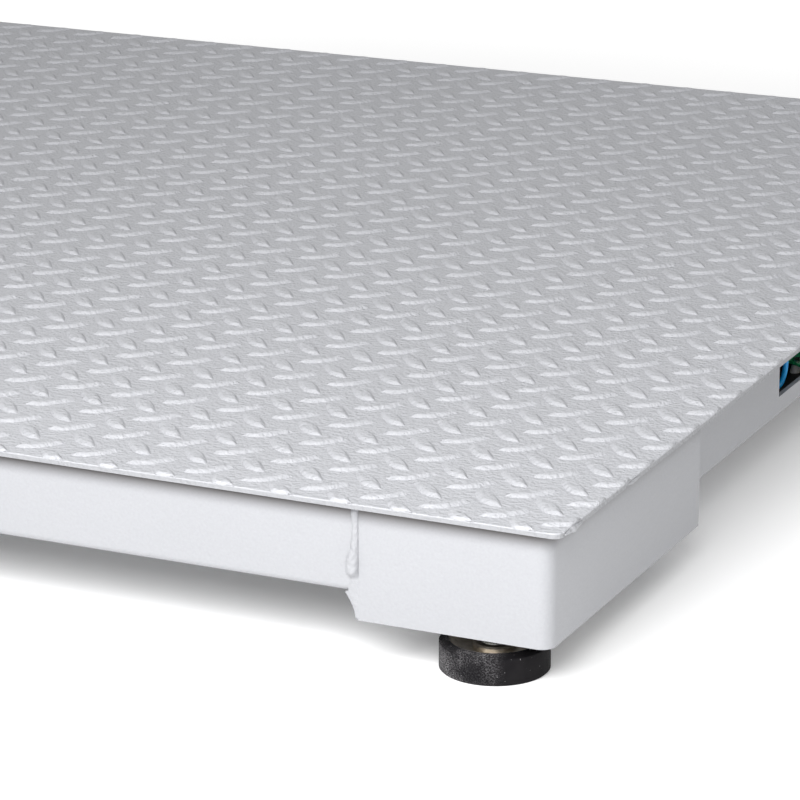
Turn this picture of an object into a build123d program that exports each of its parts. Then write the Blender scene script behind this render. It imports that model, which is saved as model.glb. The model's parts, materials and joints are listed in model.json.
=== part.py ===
"""Platform shipping scale: welded steel weighing platform on four load cells and levelling feet.

Millimetres, +Z up.  The origin is on the floor, under the middle of the platform.
+X is the side with the junction-box window and -Y is the front.
"""
from build123d import *
import math
import os

os.makedirs("parts", exist_ok=True)

# ---------------------------------------------------------------- driving dimensions
DECK_SIDE = 1011.0
DECK_THICKNESS = 3.0
DECK_TOP = 94.0
DECK_CORNER = 6.0
DECK_EDGE_BREAK = 0.7
OVERHANG = 8.5

BOX_WIDTH = 112.0
BOX_LENGTH = 220.0
BOX_BOTTOM = 25.5
BOX_WALL = 4.0
BOX_BEND = 8.0
BOX_SEAM = 1.5

BEAM_BOTTOM = 41.0
BEAM_FLANGE = 40.0
BEAM_WALL = 3.0
BEAM_BEND = 4.0
SIDE_BEAM_INSET = 19.5

WINDOW_LENGTH = 224.0
WINDOW_BOTTOM = 54.0
WINDOW_TOP = 79.0

BEAD_WIDTH = 8.0
BEAD_HEIGHT = 1.6
BEAD_TOE = 6.5
BEAD_LEG = 14.5

RIB_WIDTH = 50.0
RIB_HEIGHT = 40.0
RIB_WALL = 3.0
RIB_NAMES = {"far_left": -300.0, "left": -100.0, "right": 100.0, "far_right": 300.0}

CELL_WIDTH = 31.75
CELL_LENGTH = 130.0
CELL_END_TO_LOAD = 16.0
CELL_LOAD_TO_BOLT = 76.0
CELL_BOLT_PITCH = 25.4
CELL_TOP = 76.0
CELL_EDGE_BREAK = 0.8
GAUGE_POCKET_RADIUS = 9.5
GAUGE_POCKET_DEPTH = 8.0
GAUGE_FROM_LOAD = 38.0
GAUGE_COVER_RECESS = 1.0
GAUGE_COVER_THICKNESS = 2.0
CELL_GLAND_FLATS = 11.0
CELL_GLAND_HEX_LENGTH = 5.0
CELL_GLAND_CAP_RADIUS = 4.5
CELL_GLAND_CAP_LENGTH = 8.0

MOUNT_PLATE_LENGTH = 84.0
MOUNT_PLATE_THICKNESS = 10.0
SPACER_LENGTH = 50.0

FOOT_INSET_X = 52.5
FOOT_INSET_Y = 37.5
THREAD_RADIUS = 6.0
THREAD_CLEARANCE = 0.05
BOLT_LENGTH = 45.0
BOLT_HEAD_FLATS = 18.0
BOLT_HEAD_HEIGHT = 7.5
BOLT_HOLE_RADIUS = 6.5
WASHER_RADIUS = 12.0
WASHER_THICKNESS = 2.5
LOCK_NUT_FLATS = 18.0
LOCK_NUT_HEIGHT = 7.0

PAD_RADIUS = 30.0
PAD_SIDE_HEIGHT = 15.0
PAD_RIM_HEIGHT = 17.0
PAD_RIM_RADIUS = 25.0
PAD_SEAT_HEIGHT = 9.0
PAD_SOLE = 2.0
DISH_RADIUS = 24.8
DISH_LIP_HEIGHT = 16.4
DISH_LIP_WIDTH = 1.2
DISH_FLOOR_HEIGHT = 12.0
DISH_FLOOR_RADIUS = 16.0
SOCKET_BOSS_RADIUS = 12.0
SOCKET_BOSS_HEIGHT = 15.0
BALL_RADIUS = 8.0
BALL_HEIGHT = 12.0
BALL_CLEARANCE = 0.15
NECK_RADIUS = 5.0
DUST_RING_RADIUS = 11.0
DUST_RING_BOTTOM = 18.8
DUST_RING_TOP = 20.8
COLLAR_BOTTOM = 21.0
COLLAR_TOP = 29.0
COLLAR_FLATS = 17.0
STUD_TOP = 68.0
STUD_TIP_CHAMFER = 1.2
PAD_FOOT_CHAMFER = 0.8
SLIDE_GAP = 0.1

JUNCTION_DEPTH = 72.0
JUNCTION_HALF_LENGTH = 114.0
JUNCTION_WALL = 2.5
JUNCTION_GAP = 0.2
JUNCTION_SCREWS = [(x, y) for x in (452.0, 474.0) for y in (-106.0, 106.0)]
SCREW_SHANK = 2.0
SCREW_HEAD_RADIUS = 3.6
SCREW_HEAD_HEIGHT = 2.4
SCREW_HEAD_ROUND = 1.0

BOARD_WIDTH = 60.0
BOARD_LENGTH = 80.0
BOARD_THICKNESS = 1.6
BOARD_TILT = 13.0
BOARD_EDGE_X = 476.0
BOARD_EDGE_Z = 51.5
BOARD_HOLES = [(x, y) for x in (5.0, 55.0) for y in (-36.0, 36.0)]
BOARD_HOLE_RADIUS = 1.6
BOARD_SCREW_RADIUS = 1.5
BOARD_SCREW_HEAD_RADIUS = 2.7
BOARD_SCREW_HEAD_HEIGHT = 1.8
BOARD_SCREW_GRIP = 2.5
STANDOFF_RADIUS = 3.0
STANDOFF_REACH = 30.0
STANDOFF_HOLE_DEPTH = 3.0
TERMINAL_LENGTH = 20.0
TERMINAL_WIDTH = 8.0
TERMINAL_HEIGHT = 10.0
TERMINAL_POLES = 4
TERMINAL_SCREW_RADIUS = 1.6
TERMINAL_SCREW_DEPTH = 2.0
TERMINAL_X = (20.5, 41.0)
TERMINAL_Y = 34.0
OUTPUT_TERMINAL = (52.0, 0.0)
TRIMMER_PLACES = [(22.0, -14.0), (22.0, 14.0), (34.0, -14.0), (34.0, 14.0)]
TRIMMER_WIDTH = 5.0
TRIMMER_LENGTH = 9.5
TRIMMER_HEIGHT = 9.0
TRIMMER_SCREW_OFFSET = 2.5
TRIMMER_SCREW_RADIUS = 1.2
TRIMMER_SCREW_HEIGHT = 0.6

CABLE_RADIUS = 1.7
CABLE_BORE = 1.8
CABLE_HEIGHT = 60.0
CROSS_RUN_Y = 318.0
GROMMET_NECK = 5.0
GROMMET_FIT = 0.02
GROMMET_LIP = 7.0
GROMMET_LIP_THICKNESS = 1.5
NEAR_LEAD_X = 453.0
FAR_LEAD_X = 420.0
NEAR_GLAND = (468.0, 74.0)
FAR_GLAND = (436.0, 62.0)
NEAR_CLIP_Y = 165.0
FAR_CLIP_Y = 150.0
CLIP_WIDTH = 8.0
GLAND_SLEEVE = 5.5
GLAND_FLATS = 13.0
GLAND_HEX_THICKNESS = 4.0
GLAND_CAP_LENGTH = 8.0
GLAND_NUT_THICKNESS = 3.0
LEAD_DROP_Y = 250.0
NEAR_RISE_Y = 200.0
NEAR_GLAND_EXIT_Y = 100.0
LOOP_X = 474.5
LOOP_Y = 67.5
LOOP_TOP = 78.0
LOOP_LOW = 50.5
LOOP_RETURN_Y = 99.0
LOOP_RETURN_X = 449.0
LOOP_LAST_Y = 64.0
NEAR_ENTRY_Y = 49.0
FAR_RISE_Y = 185.0
FAR_GLAND_EXIT_Y = 84.0
FAR_ENTRY_Y = 56.0
INDICATOR_GLAND_Y = 160.0
INDICATOR_GLAND_Z = 62.0
INDICATOR_BORE = 3.0

# ---------------------------------------------------------------- derived places
DECK_BOTTOM = DECK_TOP - DECK_THICKNESS
HALF = DECK_SIDE / 2
BOX_FACE = HALF - OVERHANG
BOX_INNER_X = BOX_FACE - BOX_WIDTH
BOX_INNER_Y = BOX_FACE - BOX_LENGTH
BOX_HEIGHT = DECK_BOTTOM - BOX_BOTTOM
BEAM_HEIGHT = DECK_BOTTOM - BEAM_BOTTOM
SIDE_WEB = HALF - SIDE_BEAM_INSET
SIDE_WEB_INSIDE = SIDE_WEB - BEAM_WALL
RIB_END = BOX_FACE - BEAM_FLANGE
FOOT_X = HALF - FOOT_INSET_X
FOOT_Y = HALF - FOOT_INSET_Y
CELL_BOTTOM = CELL_TOP - CELL_WIDTH
CELL_FREE_END = FOOT_Y + CELL_END_TO_LOAD
CELL_FIXED_END = CELL_FREE_END - CELL_LENGTH
BOLT_Y = [FOOT_Y - CELL_LOAD_TO_BOLT, FOOT_Y - CELL_LOAD_TO_BOLT - CELL_BOLT_PITCH]
MOUNT_PLATE_BOTTOM = DECK_BOTTOM - MOUNT_PLATE_THICKNESS
MOUNT_PLATE_Y = sum(BOLT_Y) / 2
TAPPED_RADIUS = THREAD_RADIUS + THREAD_CLEARANCE
WASHER_BOTTOM = CELL_BOTTOM - WASHER_THICKNESS
JUNCTION_FLOOR = BEAM_BOTTOM + BEAM_WALL + JUNCTION_GAP
JUNCTION_CEILING = DECK_BOTTOM - BEAM_WALL - JUNCTION_GAP
JUNCTION_INSIDE_FLOOR = JUNCTION_FLOOR + JUNCTION_WALL
JUNCTION_BACK = SIDE_WEB_INSIDE - JUNCTION_DEPTH

CORNERS = {
    "front_right": (1, -1),
    "front_left": (-1, -1),
    "rear_right": (1, 1),
    "rear_left": (-1, 1),
}
ENDS = {"front": -1, "rear": 1}

tilt = math.radians(BOARD_TILT)
board_plane = Plane(
    origin=(BOARD_EDGE_X, 0, BOARD_EDGE_Z),
    x_dir=(-math.cos(tilt), 0, math.sin(tilt)),
    z_dir=(math.sin(tilt), 0, math.cos(tilt)),
)


def save(piece, name):
    """Label one finished piece and write it under its node name."""
    piece.part.label = name
    export_step(piece.part, f"parts/{name}.step")


def hexagon_radius(across_flats):
    """Corner radius of a hexagon from its size across flats."""
    return across_flats / math.sqrt(3)


def level(height):
    """Horizontal plane at a height above the floor."""
    return Plane.XY.offset(height)


def facing_y(y):
    """Upright plane across the Y axis: its x is X, its y is Z, and it faces -Y."""
    return Plane(origin=(0, y, 0), x_dir=(1, 0, 0), z_dir=(0, -1, 0))


def facing_x(x):
    """Upright plane across the X axis: its x is Y, its y is Z, and it faces +X."""
    return Plane(origin=(x, 0, 0), x_dir=(0, 1, 0), z_dir=(1, 0, 0))


# ---------------------------------------------------------------- welded frame
def make_deck():
    with BuildPart() as deck:
        with BuildSketch(level(DECK_BOTTOM)):
            RectangleRounded(DECK_SIDE, DECK_SIDE, DECK_CORNER)
        extrude(amount=DECK_THICKNESS)
        fillet(deck.edges().group_by(Axis.Z)[-1], DECK_EDGE_BREAK)
    save(deck, "deck_plate")


def make_corner_box(corner, side_x, side_y):
    """Bottomless corner housing, folded round its outer corner, with holes for the leads."""
    centre_x = side_x * (BOX_FACE - BOX_WIDTH / 2)
    centre_y = side_y * (BOX_FACE - BOX_LENGTH / 2)
    outer_corner = (side_x * BOX_FACE, side_y * BOX_FACE)
    end_wall_x = [NEAR_LEAD_X, FAR_LEAD_X] if side_x > 0 else []
    with BuildPart() as box:
        with BuildSketch(level(BOX_BOTTOM)) as outline:
            with Locations((centre_x, centre_y)):
                Rectangle(BOX_WIDTH, BOX_LENGTH)
            fillet(outline.vertices().sort_by_distance(outer_corner)[0], BOX_BEND)
            fillet(outline.vertices().sort_by_distance(outer_corner)[2:], BOX_SEAM)
        extrude(amount=BOX_HEIGHT)
        with BuildSketch(level(BOX_BOTTOM)) as hollow:
            with Locations((centre_x, centre_y)):
                Rectangle(BOX_WIDTH - 2 * BOX_WALL, BOX_LENGTH - 2 * BOX_WALL)
            fillet(hollow.vertices().sort_by_distance(outer_corner)[0], BOX_BEND - BOX_WALL)
        extrude(amount=BOX_HEIGHT, mode=Mode.SUBTRACT)
        with BuildSketch(facing_x(side_x * BOX_INNER_X)):
            with Locations((side_y * CROSS_RUN_Y, CABLE_HEIGHT)):
                Circle(GROMMET_NECK)
        extrude(amount=2 * BOX_WALL, both=True, mode=Mode.SUBTRACT)
        if end_wall_x:
            with BuildSketch(facing_y(side_y * BOX_INNER_Y)):
                with Locations(*[(x, CABLE_HEIGHT) for x in end_wall_x]):
                    Circle(GROMMET_NECK)
            extrude(amount=2 * BOX_WALL, both=True, mode=Mode.SUBTRACT)
    save(box, f"corner_box_{corner}")


def make_front_beam(end, side_y):
    """Folded channel between two corner boxes, its web flush with their faces."""
    web = side_y * (BOX_FACE - BEAM_FLANGE / 2)
    inside = side_y * (BOX_FACE - BEAM_WALL - BEAM_FLANGE / 2)
    middle = BEAM_BOTTOM + BEAM_HEIGHT / 2
    with BuildPart() as beam:
        with BuildSketch(Plane.YZ) as section:
            with Locations((web, middle)):
                Rectangle(BEAM_FLANGE, BEAM_HEIGHT)
            bends = section.vertices().sort_by_distance((side_y * BOX_FACE, middle))[:2]
            fillet(bends, BEAM_BEND)
            with Locations((inside, middle)):
                Rectangle(BEAM_FLANGE, BEAM_HEIGHT - 2 * BEAM_WALL, mode=Mode.SUBTRACT)
        extrude(amount=BOX_INNER_X, both=True)
    save(beam, f"{end}_beam")


def make_side_beam(side, side_x):
    """Folded channel set in from the deck edge; the right one has the junction-box window."""
    web = side_x * (SIDE_WEB - BEAM_FLANGE / 2)
    inside = side_x * (SIDE_WEB_INSIDE - BEAM_FLANGE / 2)
    middle = BEAM_BOTTOM + BEAM_HEIGHT / 2
    with BuildPart() as beam:
        with BuildSketch(Plane.XZ) as section:
            with Locations((web, middle)):
                Rectangle(BEAM_FLANGE, BEAM_HEIGHT)
            bends = section.vertices().sort_by_distance((side_x * SIDE_WEB, middle))[:2]
            fillet(bends, BEAM_BEND)
            with Locations((inside, middle)):
                Rectangle(BEAM_FLANGE, BEAM_HEIGHT - 2 * BEAM_WALL, mode=Mode.SUBTRACT)
        extrude(amount=BOX_INNER_Y, both=True)
        if side_x > 0:
            with BuildSketch(facing_x(SIDE_WEB)):
                with Locations((0, (WINDOW_BOTTOM + WINDOW_TOP) / 2)):
                    Rectangle(WINDOW_LENGTH, WINDOW_TOP - WINDOW_BOTTOM)
                with Locations((INDICATOR_GLAND_Y, INDICATOR_GLAND_Z)):
                    Circle(GLAND_SLEEVE + SLIDE_GAP)
            extrude(amount=2 * BEAM_WALL, both=True, mode=Mode.SUBTRACT)
            with BuildSketch(level(BEAM_BOTTOM)):
                with Locations(*JUNCTION_SCREWS):
                    Circle(SCREW_SHANK + SLIDE_GAP)
            extrude(amount=BEAM_WALL, mode=Mode.SUBTRACT)
    save(beam, f"{side}_beam")


def make_rib(name, centre_x):
    """Inverted channel under the deck from the front beam to the rear beam."""
    middle = DECK_BOTTOM - RIB_HEIGHT / 2
    with BuildPart() as rib:
        with BuildSketch(Plane.XZ) as section:
            with Locations((centre_x, middle)):
                Rectangle(RIB_WIDTH, RIB_HEIGHT)
            fillet(section.vertices().group_by(Axis.Y)[-1], RIB_WALL)
            with Locations((centre_x, middle - RIB_WALL)):
                Rectangle(RIB_WIDTH - 2 * RIB_WALL, RIB_HEIGHT, mode=Mode.SUBTRACT)
        extrude(amount=RIB_END, both=True)
        with BuildSketch(facing_x(centre_x)):
            with Locations((-CROSS_RUN_Y, CABLE_HEIGHT), (CROSS_RUN_Y, CABLE_HEIGHT)):
                Circle(GROMMET_NECK)
        extrude(amount=RIB_WIDTH, both=True, mode=Mode.SUBTRACT)
    save(rib, f"deck_rib_{name}")


def make_weld_beads():
    """Upright bead on each seam of a front or rear beam with a corner box, and its fillet below."""
    with BuildPart() as beads:
        for side_x, side_y in CORNERS.values():
            seam_x = side_x * (BOX_INNER_X - BEAD_WIDTH / 4)
            with BuildSketch(level(BEAM_BOTTOM)):
                with Locations((seam_x, side_y * BOX_FACE)):
                    Ellipse(BEAD_WIDTH / 2, BEAD_HEIGHT)
                with Locations((seam_x, side_y * (BOX_FACE - BEAD_WIDTH / 2))):
                    Rectangle(2 * BEAD_WIDTH, BEAD_WIDTH, mode=Mode.SUBTRACT)
            extrude(amount=BEAM_HEIGHT)
            wall = side_x * BOX_INNER_X
            toe = side_x * (BOX_INNER_X - BEAD_TOE)
            with BuildSketch(facing_y(side_y * (BOX_FACE + BEAD_HEIGHT * 0.8))):
                with BuildLine():
                    Line((wall, BEAM_BOTTOM), (toe, BEAM_BOTTOM))
                    ThreePointArc((toe, BEAM_BOTTOM),
                                  (side_x * (BOX_INNER_X - 0.3 * BEAD_TOE), BEAM_BOTTOM - 0.3 * BEAD_LEG),
                                  (wall, BEAM_BOTTOM - BEAD_LEG))
                    Line((wall, BEAM_BOTTOM - BEAD_LEG), (wall, BEAM_BOTTOM))
                make_face()
            extrude(amount=side_y * BEAD_WIDTH)
    save(beads, "corner_weld_beads")


# ---------------------------------------------------------------- weighing parts
def make_mount_plate(corner, side_x, side_y):
    """Tapped plate welded in the top of a corner box, which the load cell hangs from."""
    with BuildPart() as plate:
        with BuildSketch(level(MOUNT_PLATE_BOTTOM)):
            with Locations((side_x * (BOX_FACE - BOX_WIDTH / 2), side_y * MOUNT_PLATE_Y)):
                Rectangle(BOX_WIDTH - 2 * BOX_WALL, MOUNT_PLATE_LENGTH)
            with Locations(*[(side_x * FOOT_X, side_y * y) for y in BOLT_Y]):
                Circle(TAPPED_RADIUS, mode=Mode.SUBTRACT)
        extrude(amount=MOUNT_PLATE_THICKNESS)
    save(plate, f"cell_mount_plate_{corner}")


def make_spacers():
    with BuildPart() as spacers:
        for side_x, side_y in CORNERS.values():
            with BuildSketch(level(CELL_TOP)):
                with Locations((side_x * FOOT_X, side_y * MOUNT_PLATE_Y)):
                    Rectangle(CELL_WIDTH, SPACER_LENGTH)
                with Locations(*[(side_x * FOOT_X, side_y * y) for y in BOLT_Y]):
                    Circle(BOLT_HOLE_RADIUS, mode=Mode.SUBTRACT)
            extrude(amount=MOUNT_PLATE_BOTTOM - CELL_TOP)
    save(spacers, "cell_spacers")


def make_load_cell(corner, side_x, side_y):
    """Square shear-beam cell: two bolt holes, a tapped load hole and two gauge pockets."""
    middle_y = side_y * (CELL_FREE_END - CELL_LENGTH / 2)
    gauge_y = side_y * (FOOT_Y - GAUGE_FROM_LOAD)
    with BuildPart() as cell:
        with BuildSketch(level(CELL_BOTTOM)):
            with Locations((side_x * FOOT_X, middle_y)):
                Rectangle(CELL_WIDTH, CELL_LENGTH)
        extrude(amount=CELL_WIDTH)
        chamfer(cell.edges(), CELL_EDGE_BREAK)
        with BuildSketch(level(CELL_BOTTOM)):
            with Locations((side_x * FOOT_X, side_y * FOOT_Y)):
                Circle(TAPPED_RADIUS)
            with Locations(*[(side_x * FOOT_X, side_y * y) for y in BOLT_Y]):
                Circle(BOLT_HOLE_RADIUS)
        extrude(amount=CELL_WIDTH, mode=Mode.SUBTRACT)
        for face_x in (FOOT_X - CELL_WIDTH / 2, FOOT_X + CELL_WIDTH / 2):
            inward = GAUGE_POCKET_DEPTH if face_x < FOOT_X else -GAUGE_POCKET_DEPTH
            with BuildSketch(facing_x(side_x * face_x)):
                with Locations((gauge_y, CELL_BOTTOM + CELL_WIDTH / 2)):
                    Circle(GAUGE_POCKET_RADIUS)
            extrude(amount=side_x * inward, mode=Mode.SUBTRACT)
    save(cell, f"load_cell_{corner}")


def make_gauge_covers():
    """Sealing discs sunk into the gauge pockets on both sides of each load cell."""
    with BuildPart() as covers:
        for side_x, side_y in CORNERS.values():
            for out in (-1, 1):
                outer_face = side_x * FOOT_X + out * (CELL_WIDTH / 2 - GAUGE_COVER_RECESS)
                with BuildSketch(facing_x(outer_face)):
                    with Locations((side_y * (FOOT_Y - GAUGE_FROM_LOAD), CELL_BOTTOM + CELL_WIDTH / 2)):
                        Circle(GAUGE_POCKET_RADIUS - THREAD_CLEARANCE)
                extrude(amount=-out * GAUGE_COVER_THICKNESS)
    save(covers, "gauge_covers")


def make_cell_glands():
    """Small metal gland on the fixed end of each load cell, round its lead."""
    with BuildPart() as glands:
        for side_x, side_y in CORNERS.values():
            with BuildSketch(facing_y(side_y * CELL_FIXED_END)):
                with Locations((side_x * FOOT_X, CABLE_HEIGHT)):
                    RegularPolygon(hexagon_radius(CELL_GLAND_FLATS), 6)
                    Circle(CABLE_BORE, mode=Mode.SUBTRACT)
            extrude(amount=side_y * CELL_GLAND_HEX_LENGTH)
            with BuildSketch(facing_y(side_y * (CELL_FIXED_END - CELL_GLAND_HEX_LENGTH))):
                with Locations((side_x * FOOT_X, CABLE_HEIGHT)):
                    Circle(CELL_GLAND_CAP_RADIUS)
                    Circle(CABLE_BORE, mode=Mode.SUBTRACT)
            extrude(amount=side_y * CELL_GLAND_CAP_LENGTH)
    save(glands, "cell_glands")


def make_cell_bolts():
    with BuildPart() as bolts:
        for side_x, side_y in CORNERS.values():
            places = [(side_x * FOOT_X, side_y * y) for y in BOLT_Y]
            with BuildSketch(level(WASHER_BOTTOM - BOLT_HEAD_HEIGHT)):
                with Locations(*places):
                    RegularPolygon(hexagon_radius(BOLT_HEAD_FLATS), 6)
            extrude(amount=BOLT_HEAD_HEIGHT)
            with BuildSketch(level(WASHER_BOTTOM)):
                with Locations(*places):
                    Circle(THREAD_RADIUS)
            extrude(amount=BOLT_LENGTH)
    save(bolts, "cell_bolts")


def make_cell_washers():
    with BuildPart() as washers:
        for side_x, side_y in CORNERS.values():
            with BuildSketch(level(WASHER_BOTTOM)):
                with Locations(*[(side_x * FOOT_X, side_y * y) for y in BOLT_Y]):
                    Circle(WASHER_RADIUS)
                    Circle(BOLT_HOLE_RADIUS, mode=Mode.SUBTRACT)
            extrude(amount=WASHER_THICKNESS)
    save(washers, "cell_washers")


def make_lock_nuts():
    """Nut against the underside of each load cell, which holds the foot's height."""
    with BuildPart() as nuts:
        for side_x, side_y in CORNERS.values():
            with BuildSketch(level(CELL_BOTTOM - LOCK_NUT_HEIGHT)):
                with Locations((side_x * FOOT_X, side_y * FOOT_Y)):
                    RegularPolygon(hexagon_radius(LOCK_NUT_FLATS), 6)
                    Circle(TAPPED_RADIUS, mode=Mode.SUBTRACT)
            extrude(amount=LOCK_NUT_HEIGHT)
    save(nuts, "foot_lock_nuts")


# ---------------------------------------------------------------- levelling feet
def make_foot_stud(corner, side_x, side_y):
    """Threaded stud with a spanner collar and a ball end."""
    place = (side_x * FOOT_X, side_y * FOOT_Y)
    with BuildPart() as stud:
        with BuildSketch(level(COLLAR_BOTTOM)):
            with Locations(place):
                RegularPolygon(hexagon_radius(COLLAR_FLATS), 6)
        extrude(amount=COLLAR_TOP - COLLAR_BOTTOM)
        with BuildSketch(level(COLLAR_TOP)):
            with Locations(place):
                Circle(THREAD_RADIUS)
        extrude(amount=STUD_TOP - COLLAR_TOP)
        chamfer(stud.edges().group_by(Axis.Z)[-1], STUD_TIP_CHAMFER)
        with BuildSketch(level(BALL_HEIGHT)):
            with Locations(place):
                Circle(NECK_RADIUS)
        extrude(amount=COLLAR_BOTTOM - BALL_HEIGHT)
        with Locations((*place, BALL_HEIGHT)):
            Sphere(BALL_RADIUS)
    save(stud, f"foot_stud_{corner}")


def make_dust_ring(corner, side_x, side_y):
    """Rubber ring round the stud's neck, over the ball joint."""
    with BuildPart() as ring:
        with BuildSketch(level(DUST_RING_BOTTOM)):
            with Locations((side_x * FOOT_X, side_y * FOOT_Y)):
                Circle(DUST_RING_RADIUS)
                Circle(NECK_RADIUS + SLIDE_GAP, mode=Mode.SUBTRACT)
        extrude(amount=DUST_RING_TOP - DUST_RING_BOTTOM)
    save(ring, f"foot_dust_ring_{corner}")


def make_foot_dish(corner, side_x, side_y):
    """Pressed steel dish with the ball's socket in its middle."""
    place = (side_x * FOOT_X, side_y * FOOT_Y, 0)
    with BuildPart() as dish:
        with BuildSketch(Plane(origin=place, x_dir=(1, 0, 0), z_dir=(0, -1, 0))):
            with BuildLine():
                outside = Polyline(
                    (0, SOCKET_BOSS_HEIGHT),
                    (0, PAD_SOLE),
                    (SOCKET_BOSS_RADIUS, PAD_SOLE),
                    (SOCKET_BOSS_RADIUS, PAD_SEAT_HEIGHT),
                    (DISH_RADIUS, PAD_SEAT_HEIGHT),
                    (DISH_RADIUS, DISH_LIP_HEIGHT),
                    (DISH_RADIUS - DISH_LIP_WIDTH, DISH_LIP_HEIGHT),
                )
                sweep_in = TangentArc(
                    (DISH_FLOOR_RADIUS, DISH_FLOOR_HEIGHT),
                    outside @ 1,
                    tangent=(1, 0),
                    tangent_from_first=True,
                )
                Polyline(
                    sweep_in @ 0,
                    (SOCKET_BOSS_RADIUS, DISH_FLOOR_HEIGHT),
                    (SOCKET_BOSS_RADIUS, SOCKET_BOSS_HEIGHT - 1.0),
                    (SOCKET_BOSS_RADIUS - 1.0, SOCKET_BOSS_HEIGHT),
                    outside @ 0,
                )
            make_face()
        revolve(axis=Axis(place, (0, 0, 1)), revolution_arc=360)
        with Locations((place[0], place[1], BALL_HEIGHT)):
            Sphere(BALL_RADIUS + BALL_CLEARANCE, mode=Mode.SUBTRACT)
    save(dish, f"foot_dish_{corner}")


def make_foot_pad(corner, side_x, side_y):
    """Round black pad with a bevelled rim, recessed for the steel dish."""
    place = (side_x * FOOT_X, side_y * FOOT_Y, 0)
    with BuildPart() as pad:
        with BuildSketch(Plane(origin=place, x_dir=(1, 0, 0), z_dir=(0, -1, 0))):
            with BuildLine():
                Polyline(
                    (0, 0),
                    (PAD_RADIUS - PAD_FOOT_CHAMFER, 0),
                    (PAD_RADIUS, PAD_FOOT_CHAMFER),
                    (PAD_RADIUS, PAD_SIDE_HEIGHT),
                    (PAD_RIM_RADIUS, PAD_RIM_HEIGHT),
                    (PAD_RIM_RADIUS, PAD_SEAT_HEIGHT),
                    (SOCKET_BOSS_RADIUS + SLIDE_GAP, PAD_SEAT_HEIGHT),
                    (SOCKET_BOSS_RADIUS + SLIDE_GAP, PAD_SOLE),
                    (0, PAD_SOLE),
                    close=True,
                )
            make_face()
        revolve(axis=Axis(place, (0, 0, 1)), revolution_arc=360)
    save(pad, f"foot_pad_{corner}")


# ---------------------------------------------------------------- junction box
def make_junction_box():
    """Black housing behind the window, open towards it."""
    middle_z = (JUNCTION_FLOOR + JUNCTION_CEILING) / 2
    height = JUNCTION_CEILING - JUNCTION_FLOOR
    with BuildPart() as box:
        with BuildSketch(facing_x(JUNCTION_BACK)):
            with Locations((0, middle_z)):
                Rectangle(2 * JUNCTION_HALF_LENGTH, height)
        extrude(amount=JUNCTION_DEPTH)
        with BuildSketch(facing_x(SIDE_WEB_INSIDE)):
            with Locations((0, middle_z)):
                Rectangle(2 * (JUNCTION_HALF_LENGTH - JUNCTION_WALL), height - 2 * JUNCTION_WALL)
        extrude(amount=JUNCTION_WALL - JUNCTION_DEPTH, mode=Mode.SUBTRACT)
        with BuildSketch(facing_y(0)):
            with Locations(NEAR_GLAND, FAR_GLAND):
                Circle(GLAND_SLEEVE + SLIDE_GAP)
        extrude(amount=2 * JUNCTION_HALF_LENGTH, both=True, mode=Mode.SUBTRACT)
        with BuildSketch(level(JUNCTION_FLOOR)):
            with Locations(*JUNCTION_SCREWS):
                Circle(SCREW_SHANK + THREAD_CLEARANCE)
        extrude(amount=JUNCTION_WALL, mode=Mode.SUBTRACT)
    save(box, "junction_box")


def make_junction_screws():
    with BuildPart() as screws:
        with BuildSketch(level(BEAM_BOTTOM)):
            with Locations(*JUNCTION_SCREWS):
                Circle(SCREW_HEAD_RADIUS)
        extrude(amount=-SCREW_HEAD_HEIGHT)
        fillet(screws.edges().group_by(Axis.Z)[0], SCREW_HEAD_ROUND)
        with BuildSketch(level(BEAM_BOTTOM)):
            with Locations(*JUNCTION_SCREWS):
                Circle(SCREW_SHANK)
        extrude(amount=JUNCTION_INSIDE_FLOOR - BEAM_BOTTOM)
    save(screws, "junction_box_screws")


def make_circuit_board():
    with BuildPart() as board:
        with BuildSketch(board_plane):
            with Locations((BOARD_WIDTH / 2, 0)):
                Rectangle(BOARD_WIDTH, BOARD_LENGTH)
            with Locations(*BOARD_HOLES):
                Circle(BOARD_HOLE_RADIUS, mode=Mode.SUBTRACT)
        extrude(amount=BOARD_THICKNESS)
    save(board, "summing_board")


def make_standoffs():
    """Posts from the junction box floor to the sloping underside of the board."""
    with BuildPart() as posts:
        with BuildSketch(board_plane):
            with Locations(*BOARD_HOLES):
                Circle(STANDOFF_RADIUS)
        extrude(amount=-STANDOFF_REACH)
        split(bisect_by=level(JUNCTION_INSIDE_FLOOR), keep=Keep.TOP)
        with BuildSketch(board_plane):
            with Locations(*BOARD_HOLES):
                Circle(BOARD_SCREW_RADIUS + THREAD_CLEARANCE)
        extrude(amount=-STANDOFF_HOLE_DEPTH, mode=Mode.SUBTRACT)
    save(posts, "board_standoffs")


def make_board_screws():
    with BuildPart() as screws:
        with BuildSketch(board_plane.offset(BOARD_THICKNESS)):
            with Locations(*BOARD_HOLES):
                Circle(BOARD_SCREW_HEAD_RADIUS)
        extrude(amount=BOARD_SCREW_HEAD_HEIGHT)
        with BuildSketch(board_plane.offset(BOARD_THICKNESS)):
            with Locations(*BOARD_HOLES):
                Circle(BOARD_SCREW_RADIUS)
        extrude(amount=-BOARD_THICKNESS - BOARD_SCREW_GRIP)
    save(screws, "board_screws")


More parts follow.
